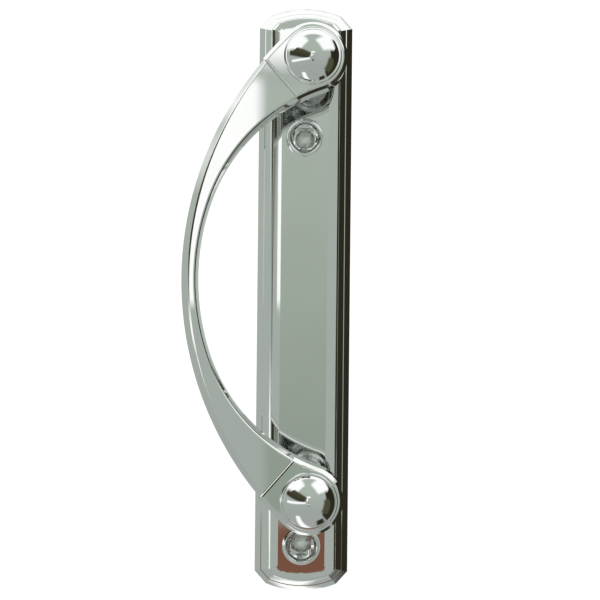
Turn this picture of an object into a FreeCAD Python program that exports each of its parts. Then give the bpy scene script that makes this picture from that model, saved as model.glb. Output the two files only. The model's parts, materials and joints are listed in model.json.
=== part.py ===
import FreeCAD, Part
import math
import os
from FreeCAD import Vector

# Offset pull handle on a moulded escutcheon plate. Millimetres.
# +Z runs up along the plate, +X to the right seen from the room, and the room is on the -Y side.
# The origin is the centre of the plate's back face, which lies on the door at y = 0.

# ---- Driving dimensions ----------------------------------------------------------------------

# Escutcheon plate
plate_length = 260.0
plate_width = 41.4
plate_height = 10.0
end_radius = 41.0
corner_cut_x = 5.0
corner_cut_z = 5.6
wall_height = 0.9
lower_band_width = 2.6
lower_band_rise = 3.1
lower_band_bulge = 0.07
land_width = 0.3
upper_band_width = 2.5
upper_band_rise = 2.9
upper_band_hollow = 0.06
panel_round = 1.8
panel_round_sections = 6
crown_width = 3.4
crown_tilt = 5.5
plate_wall = 2.4
rib_thickness = 2.0
rib_count = 5
rib_depth_clearance = 1.0

# Wells for the mounting bolts
well_spacing = 180.0
well_centre_z = -18.5
well_lip_radius = 7.2
well_lip_height = 0.4
well_lip_crest = 0.45
well_lip_drop = 0.2
well_flare = 0.75
well_flare_hollow = 0.02
well_bowl_depth = 2.6
well_bowl_bow = 0.47
socket_size = 8.9
socket_corner = 1.3
socket_floor = 1.6
well_boss_wall = 2.2

# Mounting bolts
bolt_radius = 2.5
bolt_head_clearance = 0.15
bolt_head_rim = 0.5
bolt_head_dome = 1.6
bolt_neck_size = 5.0
bolt_neck_clearance = 0.1
bolt_neck_beyond = 1.4
bolt_reach = 28.0
bolt_tip_chamfer = 0.6

# Posts
post_offset_x = 2.8
post_centre_z = 8.7
post_spacing = 182.8
post_radius = 8.0
post_length = 27.0
post_foot_radius = 10.0
post_foot_height = 2.0
post_foot_round = 3.0
post_flare_hollow = 0.67
post_core = 3.0
post_chamfer = 0.6

# Bow
eye_radius = 14.2
eye_depth = 14.0
eye_pad_step = 1.8
eye_pad_reach = 16.3
eye_pad_angle = 41.0
eye_floor = 3.7
bow_projection = 53.6
bow_inner_projection = 47.1
bow_inner_mid_radius = 98.0
bow_inner_end_radius = 74.0
bow_outer_bevel = 3.1
bow_outer_bevel_depth = 3.6
bow_inner_bevel = 0.5
bow_edge_round = 1.0
bow_back_round = 1.2
eye_rim_bevel = 1.5
eye_rim_depth = 1.6
eye_crease_round = 1.2

# Cap rings and caps
ring_radius = 11.9
ring_thickness = 1.5
ring_round = 0.7
ring_skirt_radius = 9.0
ring_skirt_length = 3.4
ring_skirt_clearance = 0.1
ring_bore_radius = 8.0
cap_radius = 10.7
cap_dome = 5.4
cap_wall = 1.2
cap_skirt_length = 4.2
cap_skirt_clearance = 0.1
seal_section = 0.8
seal_clearance = 0.05
seal_groove_clearance = 0.1

# Screws and washers
screw_radius = 2.5
thread_clearance = 0.05
screw_hole_clearance = 0.3
grip_head_radius = 4.25
grip_head_height = 5.0
grip_head_round = 0.5
hex_sides = 6
hex_across_flats = 4.0
hex_depth = 2.6
head_bore_clearance = 0.5
lock_washer_radius = 4.6
lock_washer_thickness = 1.3
lock_washer_gap = 1.2
post_head_radius = 4.6
post_head_height = 3.0
post_head_round = 1.2
post_socket_depth = 1.8
post_washer_radius = 5.2
post_washer_thickness = 1.0
post_head_sink = 1.5
post_boss_wall = 2.4
screw_tip_clearance = 1.5
screw_tip_chamfer = 0.5

# Cutting and choosing
overcut = 1.0
tolerance = 1e-4
full_turn = 360

# ---- Derived places --------------------------------------------------------------------------

plate_face = -plate_height
post_face = plate_face - post_length
eye_face = post_face - eye_depth
arm_face = eye_face + eye_pad_step
ring_face = eye_face - ring_thickness
eye_floor_face = post_face - eye_floor
land_face = -(wall_height + lower_band_rise)
upper_band_inset = lower_band_width + land_width
panel_inset = upper_band_inset + upper_band_width
socket_half = socket_size / 2
post_seat = -(post_head_sink + post_head_height + post_washer_thickness)
post_bore_depth = (post_length - post_core) / 2
screw_reach = post_bore_depth - screw_tip_clearance
ends = {"upper": 1, "lower": -1}


def post_place(end):
    """Where a post's axis crosses the door."""
    return Vector(post_offset_x, 0, post_centre_z + ends[end] * post_spacing / 2)


def well_place(end):
    """Where a well's axis crosses the door."""
    return Vector(0, 0, well_centre_z + ends[end] * well_spacing / 2)


# ---- Shared shapes ---------------------------------------------------------------------------

def rod(place, radius, y_from, y_to):
    """A round bar along Y between two depths."""
    low, high = min(y_from, y_to), max(y_from, y_to)
    return Part.makeCylinder(radius, high - low, Vector(place.x, low, place.z), Vector(0, 1, 0))


def tube(place, outer, inner, y_from, y_to):
    return rod(place, outer, y_from, y_to).cut(rod(place, inner, y_from, y_to))


def turned(place, profile):
    """A body turned about the Y axis through place. The profile is a list of edges in the XY plane."""
    face = Part.Face(Part.Wire(profile))
    body = face.revolve(Vector(0, 0, 0), Vector(0, 1, 0), full_turn)
    body.translate(Vector(place.x, 0, place.z))
    return body


def line(start, end):
    return Part.LineSegment(Vector(*start, 0), Vector(*end, 0)).toShape()


def arc(start, middle, end):
    return Part.Arc(Vector(*start, 0), Vector(*middle, 0), Vector(*end, 0)).toShape()


def bowed(start, end, bow):
    """An arc of a profile that bows out by this much to the right of its way from start to end."""
    dx, dy = end[0] - start[0], end[1] - start[1]
    size = math.hypot(dx, dy)
    middle = ((start[0] + end[0]) / 2 + bow * dy / size, (start[1] + end[1]) / 2 - bow * dx / size)
    return arc(start, middle, end)


def square_bar(place, size, y_from, y_to, corner=0.0):
    low, high = min(y_from, y_to), max(y_from, y_to)
    bar = Part.makeBox(size, high - low, size, Vector(place.x - size / 2, low, place.z - size / 2))
    if corner:
        bar = bar.makeFillet(corner, edges_along_y(bar))
    return bar


def edges_along_y(shape):
    return [e for e in shape.Edges if abs(e.BoundBox.YLength - shape.BoundBox.YLength) < tolerance]


def edges_at_depth(shape, y):
    """The edges that lie wholly in the plane at this depth."""
    boxes = [(e, e.BoundBox) for e in shape.Edges]
    return [e for e, box in boxes if abs(box.YMin - y) < tolerance and abs(box.YMax - y) < tolerance]


def circle_meets_line(centre, radius, point, along):
    """The crossing of a circle and a line that lies nearer the middle of the plate's end (2-D, x and z)."""
    dx, dz = point[0] - centre[0], point[1] - centre[1]
    b = dx * along[0] + dz * along[1]
    c = dx * dx + dz * dz - radius * radius
    reach = -b + math.sqrt(b * b - c)
    return point[0] + reach * along[0], point[1] + reach * along[1]


# ---- Escutcheon plate ------------------------------------------------------------------------

def plate_outline(inset, y):
    """The plate's outline, moved inwards by an even inset: straight sides, cut corners, cambered ends."""
    half = plate_width / 2
    arc_centre = (0.0, plate_length / 2 - end_radius)
    join_x = half - corner_cut_x
    join_z = arc_centre[1] + math.sqrt(end_radius ** 2 - join_x ** 2)
    side_z = join_z - corner_cut_z
    cut_length = math.hypot(corner_cut_x, corner_cut_z)
    along = (-corner_cut_x / cut_length, corner_cut_z / cut_length)
    inward = (-along[1], along[0])
    start = (half + inset * inward[0], side_z + inset * inward[1])
    to_side = (half - inset - start[0]) / along[0]
    side = (half - inset, start[1] + to_side * along[1])
    radius = end_radius - inset
    join = circle_meets_line(arc_centre, radius, start, along)
    crown = arc_centre[1] + radius
    edges = []
    for sign in (1, -1):
        right = Vector(sign * side[0], y, sign * side[1])
        right_join = Vector(sign * join[0], y, sign * join[1])
        left_join = Vector(-sign * join[0], y, sign * join[1])
        left = Vector(-sign * side[0], y, sign * side[1])
        next_side = Vector(-sign * side[0], y, -sign * side[1])
        edges.append(Part.LineSegment(right, right_join).toShape())
        edges.append(Part.Arc(right_join, Vector(0, y, sign * crown), left_join).toShape())
        edges.append(Part.LineSegment(left_join, left).toShape())
        edges.append(Part.LineSegment(left, next_side).toShape())
    return Part.Wire(edges)


def plate_layer(inset, y_from, y_to):
    return Part.Face(plate_outline(inset, y_from)).extrude(Vector(0, y_to - y_from, 0))


def band(inset, width, y_from, rise, bulge):
    """A sloping band between two outlines: bulge rounds it outwards, and a negative bulge hollows it."""
    slope = math.hypot(width, rise)
    middle_inset = inset + width / 2 - bulge * rise / slope
    middle_y = y_from - rise / 2 - bulge * width / slope
    sections = [
        plate_outline(inset, y_from),
        plate_outline(middle_inset, middle_y),
        plate_outline(inset + width, y_from - rise),
    ]
    return Part.makeLoft(sections, True, False)


def crowned_panel():
    """The raised panel: upright at its foot, rounded at its shoulder, then easing up to the flat."""
    tilt = math.radians(crown_tilt)
    crown_drop = crown_width * math.tan(tilt) / 2
    crown_inset = panel_inset + panel_round * (1 - math.sin(tilt))
    round_centre = plate_face + crown_drop + panel_round * math.cos(tilt)
    shoulder = []
    for index in range(panel_round_sections + 1):
        turn = math.pi / 2 + (tilt - math.pi / 2) * index / panel_round_sections
        inset = panel_inset + panel_round * (1 - math.sin(turn))
        shoulder.append(plate_outline(inset, round_centre - panel_round * math.cos(turn)))
    crown = []
    for part in (1.0, 0.5, 0.0):
        inset = crown_inset + crown_width * (1 - part)
        crown.append(plate_outline(inset, plate_face + crown_drop * part ** 2))
    foot = plate_layer(panel_inset, 0.0, round_centre)
    return foot.fuse([Part.makeLoft(shoulder, True, False), Part.makeLoft(crown, True, False)])


def plate_body():
    """A low wall, a rounded lower band, a narrow land, a hollow upper band and the raised panel."""
    wall = plate_layer(0.0, 0.0, -wall_height)
    lower = band(0.0, lower_band_width, -wall_height, lower_band_rise, lower_band_bulge)
    upper = band(upper_band_inset, upper_band_width, land_face, upper_band_rise, -upper_band_hollow)
    return wall.fuse([lower, upper, crowned_panel()]).removeSplitter()


def well_rim(place):
    """The raised round lip of a well: a short slope up from the panel, then a rounded crest."""
    crest = plate_face - well_lip_height
    shoulder = crest + well_lip_drop
    inside = well_lip_radius - well_lip_crest
    outside = well_lip_radius + well_lip_crest
    foot = outside + well_flare
    sunk = plate_face + plate_wall / 2
    profile = [
        line((0, sunk), (foot, sunk)),
        line((foot, sunk), (foot, plate_face)),
        bowed((foot, plate_face), (outside, shoulder), well_flare_hollow),
        arc((outside, shoulder), (well_lip_radius, crest), (inside, shoulder)),
        line((inside, shoulder), (0, shoulder)),
        line((0, shoulder), (0, sunk)),
    ]
    return turned(place, profile)


def well_cut(place):
    """The bowl inside the lip and the square socket below it, down to the socket's floor."""
    mouth = well_lip_radius - well_lip_crest
    shoulder = plate_face - well_lip_height + well_lip_drop
    bottom = shoulder + well_bowl_depth
    above = plate_face - well_lip_height - overcut
    profile = [
        line((0, above), (mouth, above)),
        line((mouth, above), (mouth, shoulder)),
        bowed((mouth, shoulder), (socket_half, bottom), well_bowl_bow),
        line((socket_half, bottom), (0, bottom)),
        line((0, bottom), (0, above)),
    ]
    bowl = turned(place, profile)
    socket = square_bar(place, socket_size, above, -socket_floor, socket_corner)
    neck_hole = bolt_neck_size + 2 * bolt_neck_clearance
    neck = square_bar(place, neck_hole, -socket_floor - overcut, overcut)
    return bowl.fuse([socket, neck])


def hollow():
    """The hollow behind the panel, less the bosses and ribs that stand in it."""
    pocket_depth = plate_height - plate_wall
    pocket = plate_layer(panel_inset + plate_wall, overcut, -pocket_depth)
    well_boss = socket_half * math.sqrt(2) + well_boss_wall
    post_boss = post_washer_radius + post_boss_wall
    keep = []
    for end in ends:
        keep.append(rod(well_place(end), well_boss, 2 * overcut, -plate_height))
        keep.append(rod(post_place(end), post_boss, 2 * overcut, -plate_height))
    low = post_place("lower").z + post_boss
    high = well_place("upper").z - well_boss
    pitch = (high - low) / (rib_count + 1)
    for index in range(rib_count):
        z = low + (index + 1) * pitch - rib_thickness / 2
        corner = Vector(-plate_width, -plate_height, z)
        rib_depth = plate_height - rib_depth_clearance
        keep.append(Part.makeBox(2 * plate_width, rib_depth, rib_thickness, corner))
    return pocket.cut(keep)


def escutcheon_plate():
    body = plate_body()
    body = body.fuse([well_rim(well_place(end)) for end in ends])
    body = body.cut(hollow())
    for end in ends:
        body = body.cut(well_cut(well_place(end)))
        seat_bore = post_washer_radius + screw_hole_clearance
        screw_hole = screw_radius + screw_hole_clearance
        body = body.cut(rod(post_place(end), seat_bore, overcut, post_seat))
        body = body.cut(rod(post_place(end), screw_hole, overcut, plate_face - overcut))
    return body


# ---- Bow -------------------------------------------------------------------------------------

def bow_outline(y, outer_inset=0.0, inner_inset=0.0, eye_inset=0.0):
    """The bow from the front, in x and z about the middle between the two eyes.

    One outer arc wraps both eyes. Inside, a middle arc runs into an end arc, which meets the eye.
    The insets narrow it at the outer apex, at the inner apex and round the eyes.
    """
    half = post_spacing / 2
    eye = (0, half)
    radius = eye_radius - eye_inset
    apex = outer_inset - bow_projection
    reach = apex + radius
    outer_x = (half ** 2 - reach ** 2) / (-2 * reach)
    outer_touch = step(eye, direction((outer_x, 0), eye), radius)

    inner_apex = -bow_inner_projection - inner_inset
    mid_radius = bow_inner_mid_radius + inner_inset
    end_radius_here = bow_inner_end_radius + eye_inset
    mid_centre = (inner_apex + mid_radius, 0)
    end_centre = two_circles(mid_centre, mid_radius - end_radius_here, eye, end_radius_here + radius)
    blend = step(end_centre, direction(mid_centre, end_centre), end_radius_here)
    inner_touch = step(end_centre, direction(end_centre, eye), end_radius_here)
    chord_middle = ((inner_touch[0] + blend[0]) / 2, (inner_touch[1] + blend[1]) / 2)
    end_middle = step(end_centre, direction(end_centre, chord_middle), end_radius_here)
    eye_outside = step(eye, (math.sqrt(0.5), math.sqrt(0.5)), radius)

    def at(p, side=1):
        return Vector(post_offset_x + p[0], y, post_centre_z + side * p[1])

    edges = [
        Part.Arc(at(outer_touch, -1), at((apex, 0)), at(outer_touch)),
        Part.Arc(at(outer_touch), at(eye_outside), at(inner_touch)),
        Part.Arc(at(inner_touch), at(end_middle), at(blend)),
        Part.Arc(at(blend), at((inner_apex, 0)), at(blend, -1)),
        Part.Arc(at(blend, -1), at(end_middle, -1), at(inner_touch, -1)),
        Part.Arc(at(inner_touch, -1), at(eye_outside, -1), at(outer_touch, -1)),
    ]
    return Part.Wire([edge.toShape() for edge in edges])


def direction(start, end):
    dx, dz = end[0] - start[0], end[1] - start[1]
    size = math.hypot(dx, dz)
    return dx / size, dz / size


def step(start, way, distance):
    return start[0] + way[0] * distance, start[1] + way[1] * distance


def two_circles(a, radius_a, b, radius_b):
    """The crossing of two circles that lies lower on the z axis than the line joining their centres."""
    gap = math.hypot(b[0] - a[0], b[1] - a[1])
    along = (radius_a ** 2 - radius_b ** 2 + gap ** 2) / (2 * gap)
    off = math.sqrt(radius_a ** 2 - along ** 2)
    way = direction(a, b)
    foot = step(a, way, along)
    choices = [step(foot, (way[1], -way[0]), off), step(foot, (-way[1], way[0]), off)]
    return min(choices, key=lambda c: abs(c[1]))


def bow_grip():
    body = bow_bar().fuse(eye_pads()).removeSplitter()
    body = body.makeFillet(bow_back_round, edges_at_depth(body, post_face))
    for end in ends:
        place = post_place(end)
        skirt_floor = eye_face + ring_skirt_length + ring_skirt_clearance
        screw_hole = screw_radius + screw_hole_clearance
        skirt_hole = ring_skirt_radius + ring_skirt_clearance
        above = eye_face - overcut
        body = body.cut(rod(place, screw_hole, post_face + overcut, above))
        body = body.cut(rod(place, grip_head_radius + head_bore_clearance, eye_floor_face, above))
        body = body.cut(rod(place, skirt_hole, skirt_floor, above))
    return body


def bow_bar():
    """The bow up to the arms' front face. Its bevel is wide on the outer side and dies away to the eyes."""
    bevel_foot = arm_face + bow_outer_bevel_depth
    bar = Part.Face(bow_outline(post_face)).extrude(Vector(0, bevel_foot - post_face, 0))
    top = bow_outline(arm_face, bow_outer_bevel, bow_inner_bevel, eye_rim_bevel)
    bar = bar.fuse(Part.makeLoft([bow_outline(bevel_foot), top], True, True)).removeSplitter()
    return bar.makeFillet(bow_edge_round, edges_at_depth(bar, arm_face))


def eye_pads():
    """The raised pad on each eye, with a bevelled rim and a rounded crease towards the arm."""
    bevel_foot = eye_face + eye_rim_depth
    pads = Part.Face(bow_outline(post_face)).extrude(Vector(0, bevel_foot - post_face, 0))
    top = bow_outline(eye_face, eye_rim_bevel, eye_rim_bevel, eye_rim_bevel)
    pads = pads.fuse(Part.makeLoft([bow_outline(bevel_foot), top], True, True)).removeSplitter()
    pads = pads.common(pad_zones())
    return pads.makeFillet(eye_crease_round, edges_at_depth(pads, eye_face))


def pad_zones():
    """A block over each eye, cut off square to the arm, that holds the raised pad around the eye."""
    size = 4 * eye_radius
    blocks = []
    for end in ends:
        tilt = ends[end] * eye_pad_angle
        block = Part.makeBox(size, 2 * eye_depth, size, Vector(-eye_pad_reach, -eye_depth, -size / 2))
        block.rotate(Vector(0, 0, 0), Vector(0, 1, 0), -tilt)
        place = post_place(end)
        block.translate(Vector(place.x, post_face - eye_depth, place.z))
        blocks.append(block)
    return blocks[0].fuse(blocks[1])


# ---- Posts, rings, caps and seals ------------------------------------------------------------

def post(place):
    """A turned pillar with a flared foot on the plate and a threaded hole in each end."""
    foot_top = plate_face - post_foot_height
    flare_top = foot_top - post_foot_round
    profile = [
        line((0, plate_face), (post_foot_radius, plate_face)),
        line((post_foot_radius, plate_face), (post_foot_radius, foot_top)),
        bowed((post_foot_radius, foot_top), (post_radius, flare_top), post_flare_hollow),
        line((post_radius, flare_top), (post_radius, post_face + post_chamfer)),
        line((post_radius, post_face + post_chamfer), (post_radius - post_chamfer, post_face)),
        line((post_radius - post_chamfer, post_face), (0, post_face)),
        line((0, post_face), (0, plate_face)),
    ]
    body = turned(place, profile)
    thread = screw_radius + thread_clearance
    body = body.cut(rod(place, thread, plate_face + overcut, plate_face - post_bore_depth))
    return body.cut(rod(place, thread, post_face - overcut, post_face + post_bore_depth))


def cap_ring(place):
    """A flanged ring pressed into the eye. Its flange shows around the cap."""
    flange = rod(place, ring_radius, eye_face, ring_face)
    flange = flange.makeFillet(ring_round, edges_at_depth(flange, ring_face))
    skirt = rod(place, ring_skirt_radius, eye_face + ring_skirt_length, eye_face)
    bore_end = eye_face + ring_skirt_length + overcut
    bore = rod(place, ring_bore_radius, bore_end, ring_face - overcut)
    return flange.fuse(skirt).removeSplitter().cut(bore)


def cap(place):
    """A thin domed cap with a skirt that plugs into the ring and a groove for the seal."""
    top = ring_face - cap_dome
    sphere_radius = (cap_radius ** 2 + cap_dome ** 2) / (2 * cap_dome)
    centre_y = top + sphere_radius
    half_turn = math.asin(cap_radius / sphere_radius) / 2
    middle = (sphere_radius * math.sin(half_turn), centre_y - sphere_radius * math.cos(half_turn))
    skirt = ring_bore_radius - cap_skirt_clearance
    skirt_end = ring_face + cap_skirt_length
    hollow_radius = skirt - cap_wall - seal_section
    groove_y = seal_depth()
    groove_radius = seal_ring_radius() - seal_section
    groove_half = seal_section + seal_groove_clearance
    profile = [
        arc((0, top), middle, (cap_radius, ring_face)),
        line((cap_radius, ring_face), (skirt, ring_face)),
        line((skirt, ring_face), (skirt, groove_y - groove_half)),
        line((skirt, groove_y - groove_half), (groove_radius, groove_y - groove_half)),
        line((groove_radius, groove_y - groove_half), (groove_radius, groove_y + groove_half)),
        line((groove_radius, groove_y + groove_half), (skirt, groove_y + groove_half)),
        line((skirt, groove_y + groove_half), (skirt, skirt_end)),
        line((skirt, skirt_end), (hollow_radius, skirt_end)),
        line((hollow_radius, skirt_end), (hollow_radius, ring_face)),
        line((hollow_radius, ring_face), (0, ring_face)),
        line((0, ring_face), (0, top)),
    ]
    return turned(place, profile)


def seal_ring_radius():
    return ring_bore_radius - seal_clearance - seal_section


def seal_depth():
    return ring_face + cap_skirt_length / 2


def cap_seal(place):
    return Part.makeTorus(
        seal_ring_radius(), seal_section, Vector(place.x, seal_depth(), place.z), Vector(0, 1, 0)
    )


# ---- Screws, washers and bolts ---------------------------------------------------------------

def hex_socket(place, y_from, y_to):
    corner = hex_across_flats / math.sqrt(3)
    points = []
    for index in range(hex_sides + 1):
        turn = math.tau * index / hex_sides
        points.append(Vector(place.x + corner * math.cos(turn), y_from, place.z + corner * math.sin(turn)))
    return Part.Face(Part.makePolygon(points)).extrude(Vector(0, y_to - y_from, 0))


def grip_screw(place):
    """A socket head screw that clamps the eye to its post."""
    seat = eye_floor_face - lock_washer_thickness
    top = seat - grip_head_height
    head = rod(place, grip_head_radius, seat, top)
    head = head.makeFillet(grip_head_round, edges_at_depth(head, top))
    head = head.cut(hex_socket(place, top - overcut, top + hex_depth))
    shank = rod(place, screw_radius, seat, post_face + screw_reach)
    shank = shank.makeChamfer(screw_tip_chamfer, edges_at_depth(shank, post_face + screw_reach))
    return head.fuse(shank)


def lock_washer(place):
    """A split spring washer under the grip screw's head."""
    seat = eye_floor_face - lock_washer_thickness
    ring = tube(place, lock_washer_radius, screw_radius + thread_clearance, eye_floor_face, seat)
    gap = Part.makeBox(
        lock_washer_radius, lock_washer_thickness + 2 * overcut, lock_washer_gap,
        Vector(place.x, seat - overcut, place.z - lock_washer_gap / 2),
    )
    return ring.cut(gap)


def post_screw(place):
    """A pan head screw from behind the plate into the post."""
    seat = post_seat + post_washer_thickness
    top = seat + post_head_height
    head = rod(place, post_head_radius, seat, top)
    head = head.makeFillet(post_head_round, edges_at_depth(head, top))
    head = head.cut(hex_socket(place, top + overcut, top - post_socket_depth))
    tip = plate_face - screw_reach
    shank = rod(place, screw_radius, seat, tip)
    shank = shank.makeChamfer(screw_tip_chamfer, edges_at_depth(shank, tip))
    return head.fuse(shank)


def post_washer(place):
    inner = screw_radius + thread_clearance
    return tube(place, post_washer_radius, inner, post_seat, post_seat + post_washer_thickness)


def mounting_bolt(place):
    """A domed head bolt with a square neck. Its shank stands out of the back to pass through the door."""
    head_radius = socket_half - bolt_head_clearance
    rim = -socket_floor - bolt_head_rim
    top = rim - bolt_head_dome
    sphere_radius = (head_radius ** 2 + bolt_head_dome ** 2) / (2 * bolt_head_dome)
    half_turn = math.asin(head_radius / sphere_radius) / 2
    middle = (sphere_radius * math.sin(half_turn), top + sphere_radius * (1 - math.cos(half_turn)))
    profile = [
        arc((0, top), middle, (head_radius, rim)),
        line((head_radius, rim), (head_radius, -socket_floor)),
        line((head_radius, -socket_floor), (0, -socket_floor)),
        line((0, -socket_floor), (0, top)),
    ]
    head = turned(place, profile)
    neck = square_bar(place, bolt_neck_size, -socket_floor, bolt_neck_beyond)
    shank = rod(place, bolt_radius, bolt_neck_beyond, bolt_reach)
    shank = shank.makeChamfer(bolt_tip_chamfer, edges_at_depth(shank, bolt_reach))
    return head.fuse([neck, shank])


# ---- Export ----------------------------------------------------------------------------------

def export(name, shape):
    solid = shape.Solids[0] if len(shape.Solids) == 1 else shape
    solid.exportStep("parts/" + name + ".step")
    print(name, "solids", len(shape.Solids), "valid", shape.isValid(), "volume", round(shape.Volume, 1))


def main():
    os.makedirs("parts", exist_ok=True)
    export("escutcheon_plate", escutcheon_plate())
    export("bow_grip", bow_grip())
    for end in ends:
        post_at = post_place(end)
        export(end + "_post", post(post_at))
        export(end + "_cap_ring", cap_ring(post_at))
        export(end + "_cap", cap(post_at))
        export(end + "_cap_seal", cap_seal(post_at))
        export(end + "_grip_screw", grip_screw(post_at))
        export(end + "_lock_washer", lock_washer(post_at))
        export(end + "_post_screw", post_screw(post_at))
        export(end + "_post_washer", post_washer(post_at))
        export(end + "_mounting_bolt", mounting_bolt(well_place(end)))


main()
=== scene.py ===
import json
import math

import bmesh
import bpy
from mathutils import Matrix, Vector


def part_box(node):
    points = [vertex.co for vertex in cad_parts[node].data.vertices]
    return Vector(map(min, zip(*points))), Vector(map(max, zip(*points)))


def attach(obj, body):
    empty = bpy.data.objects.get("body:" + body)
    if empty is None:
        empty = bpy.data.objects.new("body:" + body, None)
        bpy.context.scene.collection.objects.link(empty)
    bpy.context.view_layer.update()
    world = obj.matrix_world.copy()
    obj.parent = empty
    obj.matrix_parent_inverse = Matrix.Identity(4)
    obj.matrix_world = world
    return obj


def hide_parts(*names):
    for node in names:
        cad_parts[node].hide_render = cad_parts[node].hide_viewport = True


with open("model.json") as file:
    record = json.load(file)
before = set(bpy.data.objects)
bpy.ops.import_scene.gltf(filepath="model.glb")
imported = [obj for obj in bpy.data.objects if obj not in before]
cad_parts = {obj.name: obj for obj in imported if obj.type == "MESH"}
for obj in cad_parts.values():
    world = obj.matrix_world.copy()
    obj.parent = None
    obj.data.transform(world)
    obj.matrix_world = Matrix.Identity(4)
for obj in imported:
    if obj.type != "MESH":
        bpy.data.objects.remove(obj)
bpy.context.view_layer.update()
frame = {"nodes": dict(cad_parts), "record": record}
NODES = frame["nodes"]
SLOT_OF = {piece["node"]: piece["material_slot"] for piece in frame["record"]["subparts"]}


# ---- Camera ----------------------------------------------------------------------------------

CAMERA_DISTANCE = 0.600
VIEW_HALF_WIDTH = 0.1344
AIM = Vector((-0.00157, 0.0, -0.0001))
LEAN = 0.0098
NEAREST = 0.01
FARTHEST = 20.0


def make_camera():
    data = bpy.data.cameras.new("camera")
    data.angle = 2 * math.atan(VIEW_HALF_WIDTH / CAMERA_DISTANCE)
    data.clip_start = NEAREST
    data.clip_end = FARTHEST
    camera = bpy.data.objects.new("camera", data)
    bpy.context.scene.collection.objects.link(camera)
    place = Matrix.Translation(AIM + Vector((0, -CAMERA_DISTANCE, 0)))
    camera.matrix_world = place @ Matrix.Rotation(math.pi / 2, 4, "X") @ Matrix.Rotation(LEAN, 4, "Z")
    bpy.context.scene.camera = camera


# ---- Node helpers ----------------------------------------------------------------------------

# Noise values mostly lie between these two.
NOISE_LOW = 0.3
NOISE_HIGH = 0.7


def new_material(name):
    material = bpy.data.materials.new(name)
    material.use_nodes = True
    material.node_tree.nodes.clear()
    return material, material.node_tree.nodes, material.node_tree.links


def metal(name, metallic=1.0):
    """A material with its output and shader joined, and the object's own coordinates at hand."""
    material, nodes, links = new_material(name)
    output = nodes.new("ShaderNodeOutputMaterial")
    shader = nodes.new("ShaderNodeBsdfPrincipled")
    shader.inputs["Metallic"].default_value = metallic
    links.new(shader.outputs[0], output.inputs[0])
    place = nodes.new("ShaderNodeTexCoord")
    return material, nodes, links, shader, place.outputs["Object"]


def noise(nodes, links, place, scale, detail=3.0, stretch=(1, 1, 1)):
    """Noise with the given number of cells to a metre, drawn out along an axis by stretch."""
    mapping = nodes.new("ShaderNodeMapping")
    mapping.inputs["Scale"].default_value = stretch
    cloud = nodes.new("ShaderNodeTexNoise")
    cloud.inputs["Scale"].default_value = scale
    cloud.inputs["Detail"].default_value = detail
    links.new(place, mapping.inputs["Vector"])
    links.new(mapping.outputs[0], cloud.inputs["Vector"])
    return cloud.outputs[0]


def ramp(nodes, links, value, low, high, start=NOISE_LOW, end=NOISE_HIGH):
    """A colour between low and high as value goes from start to end."""
    colours = nodes.new("ShaderNodeValToRGB")
    colours.color_ramp.elements[0].position = start
    colours.color_ramp.elements[1].position = end
    colours.color_ramp.elements[0].color = (*low, 1)
    colours.color_ramp.elements[1].color = (*high, 1)
    links.new(value, colours.inputs[0])
    return colours.outputs[0]


def spread(nodes, links, value, low, high):
    """A number between low and high, from a noise value."""
    scale = nodes.new("ShaderNodeMapRange")
    scale.inputs["From Min"].default_value = NOISE_LOW
    scale.inputs["From Max"].default_value = NOISE_HIGH
    scale.inputs["To Min"].default_value = low
    scale.inputs["To Max"].default_value = high
    links.new(value, scale.inputs["Value"])
    return scale.outputs[0]


def relief(nodes, links, shader, height, depth):
    """Surface relief of the given depth in metres."""
    bump = nodes.new("ShaderNodeBump")
    bump.inputs["Distance"].default_value = depth
    links.new(height, bump.inputs["Height"])
    links.new(bump.outputs[0], shader.inputs["Normal"])


# ---- Materials -------------------------------------------------------------------------------

CHROME = (0.735, 0.745, 0.735)
CAP_CHROME = (0.735, 0.745, 0.740)
POST_CHROME = (0.71, 0.72, 0.715)
DULL_SHARE = 0.97
HAZE_SPREAD = 2.2
NICKEL = ((0.84, 0.86, 0.83), (0.90, 0.91, 0.89))
ZINC = ((0.48, 0.50, 0.53), (0.66, 0.67, 0.68))
NITRILE = ((0.012, 0.012, 0.012), (0.035, 0.035, 0.034))


def chrome(name, tint, haze, wave_depth):
    """Mirror chrome: drifting tint, thin polishing haze and the slow waviness of a buffed casting."""
    material, nodes, links, shader, place = metal(name)
    drift = noise(nodes, links, place, 45)
    dull = tuple(DULL_SHARE * channel for channel in tint)
    links.new(ramp(nodes, links, drift, dull, tint), shader.inputs["Base Color"])
    smear = noise(nodes, links, place, 260, 5.0, (1, 1, 0.3))
    links.new(spread(nodes, links, smear, haze, HAZE_SPREAD * haze), shader.inputs["Roughness"])
    wave = noise(nodes, links, place, 55, 1.0)
    relief(nodes, links, shader, wave, wave_depth)
    return material


def satin_nickel(name):
    """Satin nickel plate on a bolt head, with a fine tumbled grain."""
    material, nodes, links, shader, place = metal(name)
    patch = noise(nodes, links, place, 420, 2.0)
    links.new(ramp(nodes, links, patch, *NICKEL), shader.inputs["Base Color"])
    grain = noise(nodes, links, place, 2600, 4.0)
    links.new(spread(nodes, links, grain, 0.34, 0.44), shader.inputs["Roughness"])
    relief(nodes, links, shader, grain, 0.000003)
    return material


def zinc_steel(name):
    """Zinc plated steel with a faint spangle and drawn grain."""
    material, nodes, links, shader, place = metal(name)
    spangle = noise(nodes, links, place, 900, 2.0)
    links.new(ramp(nodes, links, spangle, *ZINC), shader.inputs["Base Color"])
    drawn = noise(nodes, links, place, 3000, 3.0, (1, 0.1, 1))
    links.new(spread(nodes, links, drawn, 0.28, 0.44), shader.inputs["Roughness"])
    relief(nodes, links, shader, drawn, 0.00001)
    return material


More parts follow.
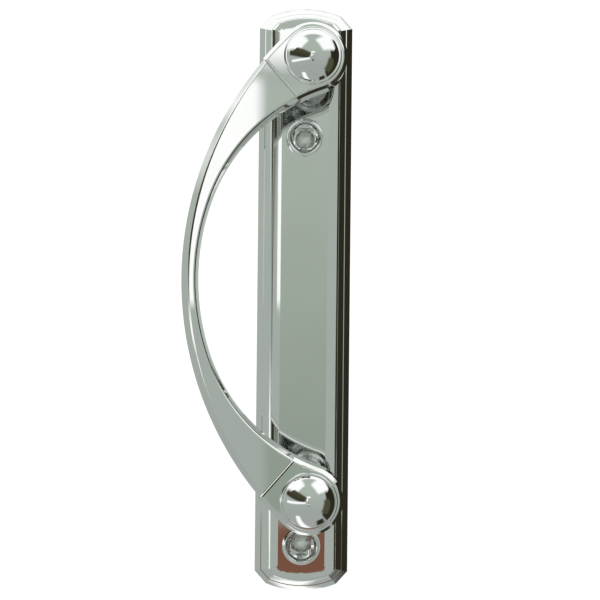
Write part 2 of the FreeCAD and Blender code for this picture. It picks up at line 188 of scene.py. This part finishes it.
def rubber(name):
    """Black nitrile with a matt moulded skin and a little bloom."""
    material, nodes, links, shader, place = metal(name, 0.0)
    bloom = noise(nodes, links, place, 500, 4.0)
    links.new(ramp(nodes, links, bloom, *NITRILE), shader.inputs["Base Color"])
    links.new(spread(nodes, links, bloom, 0.55, 0.75), shader.inputs["Roughness"])
    skin = noise(nodes, links, place, 4000, 2.0)
    relief(nodes, links, shader, skin, 0.00002)
    return material


def make_finishes():
    return {
        "plate_chrome": chrome("plate_chrome", CHROME, 0.020, 0.000010),
        "bow_chrome": chrome("bow_chrome", CHROME, 0.016, 0.000008),
        "post_chrome": chrome("post_chrome", POST_CHROME, 0.030, 0.000004),
        "cap_chrome": chrome("cap_chrome", CAP_CHROME, 0.014, 0.000003),
        "bolt_satin": satin_nickel("bolt_satin"),
        "screw_steel": zinc_steel("screw_steel"),
        "seal_rubber": rubber("seal_rubber"),
    }


def dress_nodes(finishes):
    for name, node in NODES.items():
        node.data.materials.clear()
        node.data.materials.append(finishes[SLOT_OF[name]])


# ---- Mounting bolts --------------------------------------------------------------------------
#
# Lengths here are in millimetres along the bolt, from the back of the plate toward the door.

MM = 0.001
SIDES = 48
HEAD_SEAT = -1.6
HEAD_RIM = 0.5
HEAD_RINGS = 10
NECK_HALF = 2.5
NECK_CORNER = 3.3
NECK_END = 1.4
SHANK_RADIUS = 2.5
THREAD_PITCH = 0.8
THREAD_DEPTH = 0.43
THREAD_STEPS = 8
FLANK_SLOPE = 1.25
FLANK_FLAT = 0.125
TIP_CHAMFER = 0.6
SHARP_EDGE = math.radians(30)


def around(radius):
    """A round ring."""
    return lambda turn: radius


def squared(turn):
    """The square neck, its corners rounded off where they would pass NECK_CORNER."""
    return min(NECK_HALF / max(abs(math.cos(turn)), abs(math.sin(turn))), NECK_CORNER)


def threaded(y, start, end):
    """A ring of the helical thread, which runs out over one pitch at each end of the shank."""
    depth = THREAD_DEPTH * max(0.0, min(1.0, (y - start) / THREAD_PITCH, (end - y) / THREAD_PITCH))

    def radius(turn):
        phase = (y / THREAD_PITCH - turn / math.tau) % 1.0
        flank = min(1.0, max(0.0, FLANK_SLOPE * abs(2 * phase - 1) - FLANK_FLAT))
        return SHANK_RADIUS - depth * flank

    return radius


def bolt_rings(top, head_radius, tip):
    rim = HEAD_SEAT - HEAD_RIM
    dome = rim - top
    sphere = (head_radius ** 2 + dome ** 2) / (2 * dome)
    spread_angle = math.asin(head_radius / sphere)
    rings = []
    for index in range(1, HEAD_RINGS + 1):
        angle = spread_angle * index / HEAD_RINGS
        rings.append((top + sphere * (1 - math.cos(angle)), around(sphere * math.sin(angle))))
    rings.append((HEAD_SEAT, around(head_radius)))
    rings.append((HEAD_SEAT, squared))
    rings.append((NECK_END, squared))
    rings.append((NECK_END, around(SHANK_RADIUS)))
    end = tip - TIP_CHAMFER
    count = round((end - NECK_END) / THREAD_PITCH * THREAD_STEPS)
    for index in range(1, count + 1):
        y = NECK_END + (end - NECK_END) * index / count
        rings.append((y, threaded(y, NECK_END, end)))
    rings.append((tip, around(SHANK_RADIUS - TIP_CHAMFER)))
    return rings


def make_bolt(node, finish):
    """A carriage bolt: domed head, square neck and a threaded shank, in place of the CAD bolt."""
    low, high = (Vector(corner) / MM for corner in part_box(node))
    middle = (low + high) / 2
    rings = bolt_rings(low.y, (high.x - low.x) / 2, high.y)
    points = [(middle.x, low.y, middle.z)]
    for y, radius in rings:
        for side in range(SIDES):
            turn = math.tau * side / SIDES
            reach = radius(turn)
            points.append((middle.x + reach * math.cos(turn), y, middle.z + reach * math.sin(turn)))
    points.append((middle.x, high.y, middle.z))
    last = len(points) - 1
    faces = []
    for side in range(SIDES):
        beside = (side + 1) % SIDES
        faces.append((0, 1 + side, 1 + beside))
        foot = last - SIDES
        faces.append((last, foot + beside, foot + side))
        for ring in range(len(rings) - 1):
            a = 1 + ring * SIDES
            b = a + SIDES
            faces.append((a + side, b + side, b + beside, a + beside))
    mesh = bpy.data.meshes.new(node + "_threaded")
    mesh.from_pydata([Vector(point) * MM for point in points], [], faces)
    mesh.materials.append(finish)
    tidy = bmesh.new()
    tidy.from_mesh(mesh)
    bmesh.ops.recalc_face_normals(tidy, faces=tidy.faces)
    tidy.to_mesh(mesh)
    tidy.free()
    mesh.shade_smooth()
    mesh.set_sharp_from_angle(angle=SHARP_EDGE)
    bolt = bpy.data.objects.new(node + "_threaded", mesh)
    bpy.context.scene.collection.objects.link(bolt)
    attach(bolt, "handle")
    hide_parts(node)


# ---- Studio ----------------------------------------------------------------------------------
#
# Chrome shows what stands around it. The room is a plain gray-green, seen by reflections only,
# and holds white softboxes, dark sheets to the sides and a brown one low down in front.
# A panel is given as its name, place, width, height, edge softness, foot colour and top colour.

FRONT = 4.0
FAR = 2.0
GLOW = 1.28
BACKDROP = 1.1
PALE = (0.93, 0.93, 0.93, 1)
WHITE = (1.05, 1.05, 1.05)
LIGHT_SAGE = (0.42, 0.475, 0.42)
SAGE = (0.28, 0.325, 0.28)
GRAY = (0.36, 0.39, 0.37)
OLIVE = (0.075, 0.075, 0.042)
BLACK = (0.018, 0.018, 0.012)
DARK = (0.030, 0.028, 0.018)
BROWN = (0.19, 0.085, 0.055)


def soft_edge(nodes, links, distance, half, softness):
    """1 inside the panel's half width, falling to 0 over softness at its edge."""
    size = nodes.new("ShaderNodeMath")
    size.operation = "ABSOLUTE"
    links.new(distance, size.inputs[0])
    fade = nodes.new("ShaderNodeMapRange")
    fade.inputs["From Min"].default_value = half
    fade.inputs["From Max"].default_value = half - softness
    links.new(size.outputs[0], fade.inputs["Value"])
    return fade.outputs[0]


def panel_light(name, width, height, softness, low, high):
    """A glowing sheet, from the colour low at its foot to high at its top, with soft edges."""
    material, nodes, links = new_material(name)
    output = nodes.new("ShaderNodeOutputMaterial")
    place = nodes.new("ShaderNodeTexCoord")
    split = nodes.new("ShaderNodeSeparateXYZ")
    links.new(place.outputs["Object"], split.inputs[0])
    rise = nodes.new("ShaderNodeMapRange")
    rise.inputs["From Min"].default_value = -height / 2
    rise.inputs["From Max"].default_value = height / 2
    links.new(split.outputs["Y"], rise.inputs["Value"])
    glow = nodes.new("ShaderNodeEmission")
    glow.inputs["Strength"].default_value = GLOW
    links.new(ramp(nodes, links, rise.outputs[0], low, high, 0.0, 1.0), glow.inputs["Color"])
    across = soft_edge(nodes, links, split.outputs["X"], width / 2, softness)
    along = soft_edge(nodes, links, split.outputs["Y"], height / 2, softness)
    both = nodes.new("ShaderNodeMath")
    both.operation = "MULTIPLY"
    links.new(across, both.inputs[0])
    links.new(along, both.inputs[1])
    clear = nodes.new("ShaderNodeBsdfTransparent")
    mix = nodes.new("ShaderNodeMixShader")
    links.new(both.outputs[0], mix.inputs[0])
    links.new(clear.outputs[0], mix.inputs[1])
    links.new(glow.outputs[0], mix.inputs[2])
    links.new(mix.outputs[0], output.inputs[0])
    return material


def panel(name, centre, width, height, softness, low, high, roll=0.0):
    """A plain sheet facing the handle, which only the reflections see."""
    mesh = bpy.data.meshes.new(name)
    x, y = width / 2, height / 2
    mesh.from_pydata([(-x, -y, 0), (x, -y, 0), (x, y, 0), (-x, y, 0)], [], [(0, 1, 2, 3)])
    mesh.materials.append(panel_light(name, width, height, softness, low, high))
    sheet = bpy.data.objects.new(name, mesh)
    bpy.context.scene.collection.objects.link(sheet)
    centre = Vector(centre)
    facing = (-centre).to_track_quat("Z", "Y").to_matrix().to_4x4()
    sheet.matrix_world = Matrix.Translation(centre) @ facing @ Matrix.Rotation(math.radians(roll), 4, "Z")
    sheet.visible_camera = False
    sheet.visible_shadow = False
    sheet.visible_diffuse = False


def toward(right, up):
    """The place, FAR away, that lies the given degrees right of and above the way to the camera."""
    turn = math.radians(math.hypot(right, up))
    azimuth = math.atan2(up, right)
    side = math.sin(turn)
    return Vector((side * math.cos(azimuth), -math.cos(turn), side * math.sin(azimuth))) * FAR


def make_panels():
    front = -FRONT
    panel("front_sheet", (0.02, front, 0.0), 0.30, 1.46, 0.03, SAGE, LIGHT_SAGE)
    panel("front_low_sheet", (0.0, front, -1.00), 0.50, 0.55, 0.06, BROWN, BROWN)
    panel("front_softbox", (-0.29, front, 0.36), 0.34, 0.80, 0.04, WHITE, WHITE)
    panel("front_top_softbox", (0.0, front, 1.00), 1.00, 0.48, 0.08, WHITE, WHITE)
    panel("left_softbox", toward(-56, 60), 2.8, 2.0, 0.40, WHITE, WHITE)
    panel("right_softbox", toward(46, 54), 2.3, 2.0, 0.40, WHITE, WHITE)
    panel("left_strip_light", toward(-46, -9), 3.0, 0.40, 0.15, WHITE, WHITE)
    panel("top_strip_light", toward(0, 100), 3.6, 1.3, 0.20, WHITE, WHITE)
    panel("low_strip_light", toward(-20, -96), 3.2, 0.7, 0.20, WHITE, WHITE)
    panel("left_dark_sheet", toward(-48, 17), 3.6, 1.20, 0.22, DARK, OLIVE, 15)
    panel("right_dark_sheet", toward(97, -5), 2.8, 4.6, 0.25, DARK, BLACK)
    panel("right_olive_sheet", toward(66, -25), 1.3, 1.8, 0.30, OLIVE, OLIVE)
    panel("low_dark_sheet", toward(42, -84), 1.1, 0.8, 0.20, DARK, DARK)
    panel("back_softbox", (-1.6, 1.7, 0.9), 1.5, 1.6, 0.30, WHITE, WHITE)
    panel("back_dark_sheet", (-0.3, 2.2, 0.2), 0.9, 2.6, 0.30, DARK, OLIVE)


def make_world():
    """White to the camera and to the light; to reflections, a room that pales toward its ceiling."""
    world = bpy.data.worlds.new("studio")
    bpy.context.scene.world = world
    world.use_nodes = True
    nodes, links = world.node_tree.nodes, world.node_tree.links
    nodes.clear()
    place = nodes.new("ShaderNodeTexCoord")
    split = nodes.new("ShaderNodeSeparateXYZ")
    links.new(place.outputs["Generated"], split.inputs[0])
    rise = nodes.new("ShaderNodeMapRange")
    rise.inputs["From Min"].default_value = -1.0
    links.new(split.outputs["Z"], rise.inputs["Value"])
    room = nodes.new("ShaderNodeBackground")
    room.inputs["Strength"].default_value = GLOW
    links.new(ramp(nodes, links, rise.outputs[0], GRAY, LIGHT_SAGE, 0.2, 0.8), room.inputs["Color"])
    white = nodes.new("ShaderNodeBackground")
    white.inputs["Color"].default_value = (1, 1, 1, 1)
    white.inputs["Strength"].default_value = BACKDROP
    path = nodes.new("ShaderNodeLightPath")
    mix = nodes.new("ShaderNodeMixShader")
    links.new(path.outputs["Is Glossy Ray"], mix.inputs[0])
    links.new(white.outputs[0], mix.inputs[1])
    links.new(room.outputs[0], mix.inputs[2])
    output = nodes.new("ShaderNodeOutputWorld")
    links.new(mix.outputs[0], output.inputs[0])


def make_floor():
    radius, height, sides = 3.0, -0.45, 96
    angles = [math.tau * i / sides for i in range(sides)]
    mesh = bpy.data.meshes.new("floor")
    rim = [(radius * math.cos(a), radius * math.sin(a), height) for a in angles]
    mesh.from_pydata(rim, [], [tuple(range(sides))])
    material, nodes, links = new_material("pale_floor")
    output = nodes.new("ShaderNodeOutputMaterial")
    shader = nodes.new("ShaderNodeBsdfDiffuse")
    shader.inputs[0].default_value = PALE
    links.new(shader.outputs[0], output.inputs[0])
    mesh.materials.append(material)
    floor = bpy.data.objects.new("floor", mesh)
    bpy.context.scene.collection.objects.link(floor)
    floor.visible_glossy = False


make_camera()
make_world()
make_floor()
make_panels()
finishes = make_finishes()
dress_nodes(finishes)
for bolt_node in ("upper_mounting_bolt", "lower_mounting_bolt"):
    make_bolt(bolt_node, finishes["bolt_satin"])

scene = bpy.context.scene
scene.view_settings.view_transform = "Standard"
scene.cycles.max_bounces = 16
scene.cycles.glossy_bounces = 12
